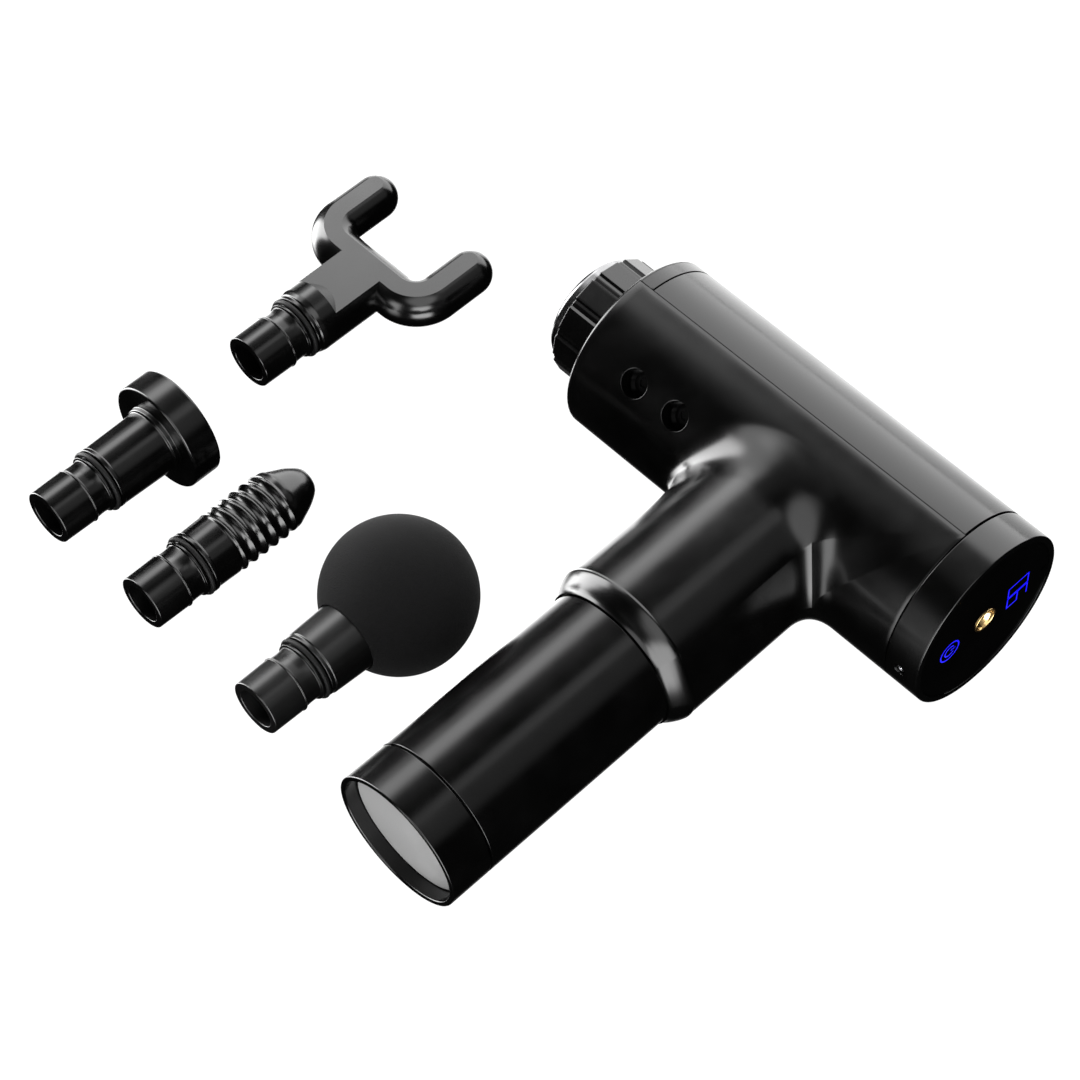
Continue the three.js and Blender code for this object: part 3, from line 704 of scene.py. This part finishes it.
def build_nose():
    pitch = TURN / FLUTES
    groove_half = math.radians(4.2)
    first = math.radians(-4)

    def facet_radius(radius, _along, angle):
        """Flat facets between shallow grooves; angle runs from +Y towards +Z."""
        if radius < SLEEVE_R + 1.6:
            return radius
        lie = (angle - first + pitch / 2) % pitch - pitch / 2
        shortfall = COLLAR_R - radius
        facet_mid = pitch / 2
        flat = COLLAR_R * math.cos(facet_mid - groove_half) / math.cos(abs(lie) - facet_mid)
        ease = min(1, max(0, (groove_half * 1.25 - abs(lie)) / (groove_half * 0.55)))
        ease = ease * ease * (3 - 2 * ease)
        return flat - FLUTE_DEPTH * ease - shortfall

    grip = lathe(
        "nose_ring",
        [(SLEEVE_R + 0.45, COLLAR_FRONT, 0.3), (COLLAR_R, COLLAR_FRONT, 0.6),
         (COLLAR_R, BARREL_FRONT - 0.3, 0.3), (SLEEVE_R + 0.45, BARREL_FRONT - 0.3)],
        GUN, sides=360, along_x=True,
        ripple=lambda radius, along, angle: facet_radius(radius, along, angle + math.pi), sharp=25)
    spigot = lathe(
        "spigot",
        [(SLEEVE_R + 0.5, BARREL_FRONT - 0.4), (COLLAR_R + 0.3, BARREL_FRONT - 0.4),
         (COLLAR_R + 0.3, -67.7), (COLLAR_R + 3.4, -67.7, 0.2), (COLLAR_R + 3.4, -65.5, 0.2),
         (SLEEVE_R + 0.5, -65.5)],
        GUN, along_x=True)
    joined(grip, spigot)
    even_normals(grip)
    dress(grip, "housing", "housing_black", "gun", "nose_collar")

    bore = SOCKET_R + 1.9
    sleeve = lathe(
        "nose_sleeve",
        [(0, SLEEVE_BACK), (SLEEVE_R, SLEEVE_BACK, 0.5), (SLEEVE_R, SLEEVE_FRONT + 1.2, 0.8),
         (SLEEVE_R - 1.2, SLEEVE_FRONT, 0.8), (bore, SLEEVE_FRONT, 0.5), (bore, SLEEVE_BACK - 3, 0.2),
         (0, SLEEVE_BACK - 3)],
        GUN, sides=128, along_x=True)
    dress(sleeve, "chrome", "nose_chrome", "plunger", "plunger_sleeve")
    liner = lathe(
        "socket_rubber",
        [(SOCKET_R, SLEEVE_FRONT + 0.5, 0.6), (SOCKET_R + LINER_WALL, SLEEVE_FRONT + 0.5, 0.3),
         (SOCKET_R + LINER_WALL, SLEEVE_BACK - 3.3, 0.1), (SOCKET_R, SLEEVE_BACK - 3.3, 0.1)],
        GUN, along_x=True)
    dress(liner, "rubber", "rubber", "plunger", "socket_liner")


# ------------------------------------------------------------------ display end

def build_display():
    lens = turned(
        "lens",
        [(JACK_R + 0.2, LENS_BACK, 0.1), (LENS_R, LENS_BACK, 0.1), (LENS_R, LENS_FRONT, 0.12),
         (JACK_R + 0.2, LENS_FRONT, 0.12)],
        GUN, sides=160, along_x=True)
    notch = block("notch", (LENS_BACK - 1, 22.9, -0.5), (LENS_FRONT + 1, 24.9, 0.5), GUN)
    even_normals(cut_with(lens, notch))
    dress(lens, "gloss", "display_gloss", "gun", "display_lens")

    jack = lathe(
        "jack_barrel",
        [(0, 55.4), (JACK_R, 55.4), (JACK_R, 63.35, 0.25), (JACK_R - 0.55, 63.35, 0.25),
         (JACK_R - 0.8, 62.5, 0.3), (1.9, 60.6, 0.3), (1.9, 56.4, 0.1), (0, 56.4)],
        GUN, sides=64, along_x=True)
    dress(jack, "jack", "jack_brass", "gun", "charge_jack")
    pin = lathe("jack_contact", [(0, 56.7), (0.7, 56.7), (0.7, 62.3, 0.6), (0, 62.3)], GUN,
                sides=32, along_x=True)
    dress(pin, "jack", "jack_brass", "gun", "jack_pin")
    build_digits()
    build_power_mark()


def build_digits():
    """The number 06 in thin lit segments, upright along +Y, read from +X."""
    middle = (DIGIT_LOW + DIGIT_HIGH) / 2
    half = STROKE_WIDTH / 2
    segments = {
        "top": ((DIGIT_HIGH, DIGIT_HIGH), (0, 1)),
        "middle": ((middle, middle), (0, 1)),
        "bottom": ((DIGIT_LOW, DIGIT_LOW), (0, 1)),
        "upper_left": ((middle, DIGIT_HIGH), (0, 0)),
        "lower_left": ((DIGIT_LOW, middle), (0, 0)),
        "upper_right": ((middle, DIGIT_HIGH), (1, 1)),
        "lower_right": ((DIGIT_LOW, middle), (1, 1)),
    }
    left_out = {0: ("middle",), 6: ("upper_right",)}
    bars = []
    for place, digit in enumerate((0, 6)):
        left = DIGIT_WIDTH / 2 + DIGIT_STEP / 2 - place * DIGIT_STEP
        for segment, ((y0, y1), (a, b)) in segments.items():
            if segment in left_out[digit]:
                continue
            z0, z1 = sorted((left - a * DIGIT_WIDTH, left - b * DIGIT_WIDTH))
            low = (LENS_FRONT - MARK_SUNK, y0 - half, z0 - half)
            high = (LENS_FRONT + MARK_PROUD, y1 + half, z1 + half)
            bars.append(block(f"bar_{place}_{segment}", low, high, GUN))
    digits = joined(bars[0], *bars[1:])
    digits.name = "display_digits"
    dress(digits, "glow", "display_gloss", "gun")


def build_power_mark():
    """A ring, and inside it an open ring with a stroke."""
    place = GUN @ Matrix.Translation((0, POWER_Y, 0))
    sunk, proud = LENS_FRONT - MARK_SUNK, LENS_FRONT + MARK_PROUD

    def band(radius, width, start, end, steps):
        """Square sections along an arc about X."""
        inner, outer = radius - width / 2, radius + width / 2
        rows = []
        for step in range(steps + 1):
            angle = start + (end - start) * step / steps
            section = ((inner, sunk), (outer, sunk), (outer, proud), (inner, proud))
            rows.append([(x, out * math.cos(angle), out * math.sin(angle)) for out, x in section])
        return rows

    sections = 64
    last = sections - 1
    whole = grid_solid("power_mark", band(POWER_R, 0.5, 0, TURN * last / sections, last), place)
    gap = math.radians(38)
    arc = band(POWER_R * 0.52, 0.45, gap, TURN - gap, 40)
    open_ring = grid_solid("open_ring", arc, place, wrap=False)
    stroke = block("stroke", (sunk, 0.3, -0.22), (proud, POWER_R * 0.62, 0.22), place)
    mark = joined(whole, open_ring, stroke)
    dress(mark, "glow", "display_gloss", "gun")


# ------------------------------------------------------------------ handle

def build_handle():
    wall, shoulder, spigot_top = GRIP_R - 1.6, GRIP_TOP - 0.3, -71.3
    tube = lathe(
        "grip",
        [(wall, GRIP_FOOT), (GRIP_R, GRIP_FOOT, 0.25), (GRIP_R, shoulder, 0.3),
         (GRIP_R - 0.75, shoulder, 0.05), (GRIP_R - 0.75, spigot_top, 0.2), (wall, spigot_top)],
        GUN, sides=160)
    dress(tube, "housing", "housing_black", "gun", "grip_tube")
    seat, inner_floor, lip = PLATE_TOP + 0.3, -151.6, END_CAP_TOP + 2.4
    cap = lathe(
        "handle_cap",
        [(0, seat), (GRIP_R - 1.7, seat, 0.2), (wall, END_CAP_FOOT, 0.5), (GRIP_R, END_CAP_FOOT, 0.5),
         (GRIP_R, END_CAP_TOP, 0.25), (GRIP_R - 1.95, END_CAP_TOP, 0.05), (GRIP_R - 1.95, lip, 0.2),
         (GRIP_R - 3.4, lip, 0.2), (GRIP_R - 3.4, inner_floor), (0, inner_floor)],
        GUN, sides=160)
    dress(cap, "housing", "housing_black", "gun", "end_cap")
    plate_r = GRIP_R - 2.1
    plate = lathe(
        "handle_plate",
        [(0, PLATE_FOOT), (plate_r, PLATE_FOOT, 0.3), (plate_r, PLATE_TOP, 0.2), (0, PLATE_TOP)],
        GUN, sides=160)
    dress(plate, "plate", "plate_grey", "gun", "base_plate")


# ------------------------------------------------------------------ heads

def plug_outline():
    """From the floor of the plug's bore, out round its end and up to the start of the stem."""
    return [
        (0, 14), (5.9, 14, 0.6), (6.1, 0.05, 0.3), (PLUG_R - 0.05, 0.05, 0.4), (PLUG_R + 0.05, 10.8, 0.3),
        (PLUG_R + 0.3, 10.95, 0.12), (PLUG_R + 0.3, 11.2, 0.12), (PLUG_R - 0.2, 11.5, 0.3),
        (PLUG_R - 0.38, 14.4, 1.5), (PLUG_R - 0.2, 16.5, 0.2), (PLUG_R + 0.55, 16.65, 0.12),
        (PLUG_R + 0.55, 17.3, 0.15), (7.95, 17.35, 0.1), (7.95, 19.3, 0.1),
        (9.7, 19.4, 0.3), (9.7, 20.6, 0.3),
    ]


def plug_ring(node, look_name):
    middle_r, thick_r, sides = 9.1, 0.7, 16
    section = []
    for side in range(sides):
        angle = TURN * side / sides
        section.append((middle_r + thick_r * math.cos(angle), RING_S + thick_r * math.sin(angle)))
    ring = turned(look_name, section, head_frame(node), sides=72)
    dress(ring, "rubber", "rubber", node, f"{node}_ring")


def build_ball():
    place = head_frame("ball_head")
    outline = [*plug_outline(), (10.0, 20.9, 0.3), (10.45, 33), (10.45, 38, 0.3), (0, 38)]
    stem = lathe("ball_stem", outline, place)
    dress(stem, "satin", "head_black", "ball_head", "ball_head")
    plug_ring("ball_head", "ball_seal")
    mouth_r, steps = 10.8, 72
    mouth = math.acos(mouth_r / BALL_R)
    skin = []
    for step in range(steps + 1):
        angle = -mouth + (mouth + math.pi / 2) * step / steps
        skin.append((BALL_R * math.cos(angle), BALL_CENTRE + BALL_R * math.sin(angle)))
    skin[-1] = (0, BALL_CENTRE + BALL_R)
    foam = turned("foam_head", [(0, 38.3), (10.6, 38.3), (10.75, 33.4, 0.3), *skin], place, sides=144)
    dress(foam, "foam", "ball_foam", "ball_head", "foam_ball")


def build_bullet():
    place = head_frame("bullet_head")
    rib_start, rib_pitch, fade = 28.6, 3.8, 1.2
    rib_end = rib_start + rib_pitch * 5.6
    body_r, root_r, crest, row = 9.5, 9.0, 0.3, 0.14

    def helical(radius, along, angle):
        """Five ribs with rounded crests that climb one pitch in a turn."""
        if not rib_start < along < rib_end:
            return radius
        phase = (along - rib_start) / rib_pitch + angle / TURN
        into = min(1, (along - rib_start) / fade)
        out = min(1, (rib_end - along) / fade)
        depth = (math.hypot(math.cos(math.pi * phase), crest) - crest) / (math.hypot(1, crest) - crest)
        wave = BULLET_R - (BULLET_R - root_r) * depth
        return radius + (wave - radius) * min(into, out)

    fine = [(body_r, rib_start + step * row) for step in range(int((rib_end - rib_start) / row) + 1)]
    outline = [
        *plug_outline(), (9.35, 20.9, 0.2), (body_r, 28.3), *fine,
        (9.45, 51.4, 1.2), (6.9, 57.6, 2.4), (4.2, 61.6, 2.2), (0, 62.2),
    ]
    head = turned("bullet", outline, place, sides=168, ripple=helical, sharp=50)
    dress(head, "head", "head_black", "bullet_head", "bullet_head")
    plug_ring("bullet_head", "bullet_seal")


def build_disc():
    place = head_frame("disc_head")
    outline = [
        *plug_outline(), (9.6, 20.9, 0.2), (9.9, 37.4), (9.9, 38.3, 0.3), (10.6, 38.5, 0.3), (10.6, 40, 0.3),
        (DISC_R, 40, 0.8), (DISC_R, 49.6, 0.8), (0, 49.6),
    ]
    head = lathe("disc", outline, place, sides=144)
    dress(head, "head", "head_black", "disc_head", "disc_head")
    plug_ring("disc_head", "disc_seal")


def fork_path(bend, steps):
    """The bent bar's centre line, in the plane z = 0."""
    points = []
    for side in (-1, 1):
        arc = []
        for step in range(steps + 1):
            angle = (math.pi / 2) * step / steps
            x = side * (FORK_SPREAD - bend + bend * math.cos(angle))
            s = FORK_BAR_S + bend - bend * math.sin(angle)
            arc.append((x, s))
        leg = [(side * FORK_SPREAD, FORK_TIP_S - k * (FORK_TIP_S - FORK_BAR_S - bend) / 6) for k in range(6)]
        points += leg + arc if side < 0 else (leg + arc)[::-1]
    return points


def build_fork():
    place = head_frame("fork_head")
    bend_r, sides, edge = 9.0, 64, 0.14
    path = fork_path(bend_r, 20)
    rows = []
    count = len(path)
    for index, (x, s) in enumerate(path):
        before, after = path[max(index - 1, 0)], path[min(index + 1, count - 1)]
        ahead = Vector((after[0] - before[0], after[1] - before[1])).normalized()
        out = Vector((-ahead.y, ahead.x))
        row = []
        for step in range(sides):
            angle = TURN * step / sides
            flat, up = FORK_BAR_R * math.cos(angle), FORK_BAR_R * math.sin(angle)
            row.append((x + out.x * flat, s + out.y * flat, up))
        rows.append(row)

    def tip(x, rising):
        """Rings of a half ball beyond the end of a tine."""
        rings = []
        ring_count = 16
        for step in range(1, ring_count):
            angle = (math.pi / 2) * step / ring_count
            radius, beyond = FORK_BAR_R * math.cos(angle), FORK_BAR_R * math.sin(angle)
            ring = []
            for side in range(sides):
                turn = TURN * side / sides
                across = radius * math.cos(turn) * (1 if rising else -1)
                ring.append((x + across, FORK_TIP_S + beyond, radius * math.sin(turn)))
            rings.append(ring)
        return rings

    first = tip(-FORK_SPREAD, True)[::-1]
    last = tip(FORK_SPREAD, False)
    bar = grid_solid("bar", first + rows + last, place, wrap=False)
    outline = [*plug_outline(), (10.0, 20.9, 0.3), (FORK_STEM_R, 22.5, 0.4), (FORK_STEM_R, 47), (0, 47)]
    stem = turned("fork", outline, place, sides=128)
    cut_with(stem, bar, operation="UNION")
    tools = []
    for side in (1, -1):
        near, far = sorted((side * FORK_FLAT, side * 30.0))
        tools.append(block("tool", (-40, FORK_SHOULDER_S, near), (40, 90, far), place))
    cut_with(stem, *tools, sharp=14)
    # The stem runs out onto the flats as a cone.
    cone_r, cone_from, cone_to = FORK_STEM_R - 0.01, FORK_SHOULDER_S - 1, FORK_SHOULDER_S + 6.5
    outline = [(0, cone_from), (cone_r, cone_from), (cone_r, FORK_SHOULDER_S), (4.6, cone_to), (0, cone_to)]
    shoulder = turned("shoulder", outline, place, sides=128)
    cut_with(stem, shoulder, operation="UNION", sharp=14)
    rounded = stem.modifiers.new("edges", "BEVEL")
    rounded.width = edge * MM
    rounded.segments = 2
    rounded.limit_method = "ANGLE"
    rounded.angle_limit = math.radians(16)
    rounded.harden_normals = False
    even_normals(stem)
    dress(stem, "head", "head_black", "fork_head", "fork_head")
    plug_ring("fork_head", "fork_seal")


# ------------------------------------------------------------------ inner pieces

INNER = {
    "steel": ("bearing_steel", ["motor_can", "motor_shaft", "crank_disc", "crank_pin", "pin_bearing",
                                "shaft_bearing", "plunger_yoke", "plunger_shaft", "touch_electrode"]),
    "aluminium": ("cast_aluminium", ["drive_frame", "capacitor_1", "capacitor_2"]),
    "bush": ("bush_brass", ["guide_bush"]),
    "core": ("motor_core", ["motor_stator"]),
    "rubber": ("rubber", ["nose_seal", *[f"frame_damper_{n}" for n in range(1, 5)]]),
    "board": ("circuit_board", ["display_board", "control_board", "battery_board"]),
    "chip": ("chip_black", ["motor_driver", "segment_display"]),
    "nylon": ("spacer_nylon", ["lower_cell_spacer", "upper_cell_spacer", "display_cable"]),
    "cell": ("cell_wrap", [f"battery_cell_{n}" for n in range(1, 4)]),
    "wire": ("wire_red", ["battery_lead"]),
}


def dress_inner():
    for look, (slot, names) in INNER.items():
        for name in names:
            node = frame["nodes"][name]
            node.data.materials.clear()
            node.data.materials.append(LOOK[look])


# ------------------------------------------------------------------ stage

WALL_DISTANCE = 1.6  # metres from the middle of the set
FLOOR_REACH = 6.0  # metres


def wall_light(name, facing, sides, height, brightness, soft):
    """A flat upright soft box on a wall at WALL_DISTANCE. facing is the wall's
    azimuth in degrees, with 0 at +X and 90 at +Y. sides are its left and right edges and height its
    low and high edges on that wall, in metres and seen from the middle. brightness is its radiance,
    which fades over the distances in soft: at the sides, along the bottom and along the top."""
    wide, tall = sides[1] - sides[0], height[1] - height[0]
    light = bpy.data.lights.new(name, "AREA")
    light.shape = "RECTANGLE"
    light.size, light.size_y = wide, tall
    light.energy = brightness * math.pi * wide * tall
    light.use_nodes = True
    tree = light.node_tree
    where = tree.nodes.new("ShaderNodeNewGeometry").outputs["Parametric"]
    parts = linked(tree, "ShaderNodeSeparateXYZ", Vector=where)
    strength = None
    for axis, near, fade in (
        ("X", 0, soft[0] / wide), ("X", 1, soft[0] / wide),
        ("Y", 0, soft[1] / tall), ("Y", 1, soft[2] / tall),
    ):
        node = tree.nodes.new("ShaderNodeMapRange")
        node.interpolation_type = "SMOOTHSTEP"
        node.inputs["From Min"].default_value = near
        node.inputs["From Max"].default_value = near + (fade if near == 0 else -fade)
        tree.links.new(parts.outputs[axis], node.inputs["Value"])
        if strength is not None:
            tree.links.new(strength, node.inputs["To Max"])
        strength = node.outputs["Result"]
    tree.links.new(strength, tree.nodes["Emission"].inputs["Strength"])
    turn = math.radians(facing)
    towards = Vector((math.cos(turn), math.sin(turn), 0))
    rightwards = Vector((math.sin(turn), -math.cos(turn), 0))
    made = bpy.data.objects.new(name, light)
    made.location = towards * WALL_DISTANCE + rightwards * sum(sides) / 2 + Vector((0, 0, sum(height) / 2))
    made.rotation_mode = "QUATERNION"
    made.rotation_quaternion = towards.to_track_quat("Z", "Y")
    bpy.context.scene.collection.objects.link(made)
    return made


def studio_world():
    """A dim studio whose back wall glows below the height of the set, more dimly further down, with
    round soft patches of light above."""
    world = bpy.data.worlds.new("studio")
    world.use_nodes = True
    tree = world.node_tree

    def calculate(operation, first, second=0.0):
        node = tree.nodes.new("ShaderNodeMath")
        node.operation = operation
        for socket, value in zip(node.inputs, (first, second)):
            if isinstance(value, bpy.types.NodeSocket):
                tree.links.new(value, socket)
            else:
                socket.default_value = value
        return node.outputs["Value"]

    def fade(value, nothing_at, full_at):
        node = tree.nodes.new("ShaderNodeMapRange")
        node.interpolation_type = "SMOOTHSTEP"
        node.inputs["From Min"].default_value = nothing_at
        node.inputs["From Max"].default_value = full_at
        tree.links.new(value, node.inputs["Value"])
        return node.outputs["Result"]

    def patch(towards, edge, full, brightness):
        """A round soft patch of light; edge and full are cosines of the angle from its middle."""
        node = tree.nodes.new("ShaderNodeVectorMath")
        node.operation = "DOT_PRODUCT"
        tree.links.new(where, node.inputs[0])
        node.inputs[1].default_value = Vector(towards).normalized()
        return calculate("MULTIPLY", fade(node.outputs["Value"], edge, full), brightness)

    where = tree.nodes.new("ShaderNodeTexCoord").outputs["Generated"]
    parts = linked(tree, "ShaderNodeSeparateXYZ", Vector=where)
    depth = calculate("MAXIMUM", parts.outputs["Y"], 0.02)
    across = calculate("DIVIDE", parts.outputs["X"], depth)
    up = calculate("MINIMUM", calculate("DIVIDE", parts.outputs["Z"], depth), 0.0)
    wall_brightness, room_brightness = 4.4, 0.004
    total = calculate("MULTIPLY", calculate("EXPONENT", up), wall_brightness)
    for limit in (
        fade(across, -2.4, -2.0),
        fade(across, -0.15, -0.5),
        fade(parts.outputs["Y"], 0.0, 0.04),
        calculate("LESS_THAN", parts.outputs["Z"], 0.0),
    ):
        total = calculate("MULTIPLY", total, limit)
    for added in (
        patch((-0.7, 0.2, 0.68), 0.9, 0.985, 2.0),
        patch((-0.66, 0.07, 0.75), 0.94, 0.985, 2.6),
        patch((-0.4, 0.05, 0.92), 0.88, 0.98, 0.3),
        patch((0.46, -0.27, 0.85), 0.89, 0.96, 3.2),
        patch((-0.62, 0.36, 0.69), 0.97, 0.993, 2.4),
        patch((0.6, 0.3, 0.74), 0.88, 0.98, 0.5),
        patch((0.31, 0.37, 0.87), 0.982, 0.997, 1.2),
        room_brightness,
    ):
        total = calculate("ADD", total, added)
    background = tree.nodes["Background"]
    background.inputs["Color"].default_value = (1, 1, 1, 1)
    tree.links.new(total, background.inputs["Strength"])
    bpy.context.scene.world = world


def build_stage():
    below = -0.0001
    corners = [(x * FLOOR_REACH, y * FLOOR_REACH, below) for x, y in ((-1, -1), (1, -1), (1, 1), (-1, 1))]
    floor = piece("floor", corners, [[0, 1, 2, 3]], Matrix.Identity(4))
    pale = bpy.data.materials.new("pale_floor")
    pale.use_nodes = True
    shader = pale.node_tree.nodes["Principled BSDF"]
    shader.inputs["Base Color"].default_value = (0.06, 0.06, 0.06, 1)
    shader.inputs["Roughness"].default_value = 0.9
    shader.inputs["Specular IOR Level"].default_value = 0.0
    shader.inputs["Emission Color"].default_value = (1, 1, 1, 1)
    shader.inputs["Emission Strength"].default_value = 1.0
    floor.data.materials.append(pale)
    floor.visible_glossy = False
    floor.visible_shadow = False

    studio_world()
    wall_light("back_light", 90, (-3.0, 0.64), (0.09, 3.5), 5.3, (0.3, 0.03, 1.0))
    wall_light("low_left_light", 142, (-0.5, 0.4), (-2.5, -0.3), 3.2, (0.2, 0.3, 0.2))
    wall_light("under_left_light", 168, (-0.3, 0.3), (-2.6, -1.0), 3.0, (0.1, 0.3, 0.3))
    wall_light("left_light", 190.5, (-0.5, 0.5), (-1.6, 1.62), 18.0, (0.24, 1.5, 0.5))
    wall_light("right_light", 325, (-0.68, 0.68), (-1.1, 1.3), 12.0, (0.32, 0.5, 0.5))
    wall_light("front_light", 269.5, (-0.42, 0.42), (-1.3, 1.4), 7.0, (0.24, 1.5, 0.6))


def build_camera():
    """The camera looks down on the set from its right and front, level from side to side."""
    target = Vector((18.905, -1.817, 28.0)) * MM
    distance, focal_length, sensor_width = 0.96705, 117.2, 36.0
    azimuth, elevation = math.radians(45.754), math.radians(54.867)
    back = Vector((
        math.sin(azimuth) * math.cos(elevation),
        -math.cos(azimuth) * math.cos(elevation),
        math.sin(elevation),
    ))
    data = bpy.data.cameras.new("camera")
    data.sensor_width = sensor_width
    data.lens = focal_length
    data.clip_start, data.clip_end = 0.05, 30.0
    camera = bpy.data.objects.new("camera", data)
    camera.location = target + back * distance
    camera.rotation_mode = "QUATERNION"
    camera.rotation_quaternion = back.to_track_quat("Z", "Y")
    bpy.context.scene.collection.objects.link(camera)
    bpy.context.scene.camera = camera


# ------------------------------------------------------------------ all of it

build_housing()
build_cover()
build_rear_cap()
build_screws()
build_nose()
build_display()
build_handle()
build_ball()
build_bullet()
build_disc()
build_fork()
dress_inner()
build_stage()
build_camera()

bpy.context.scene.view_settings.view_transform = "Standard"
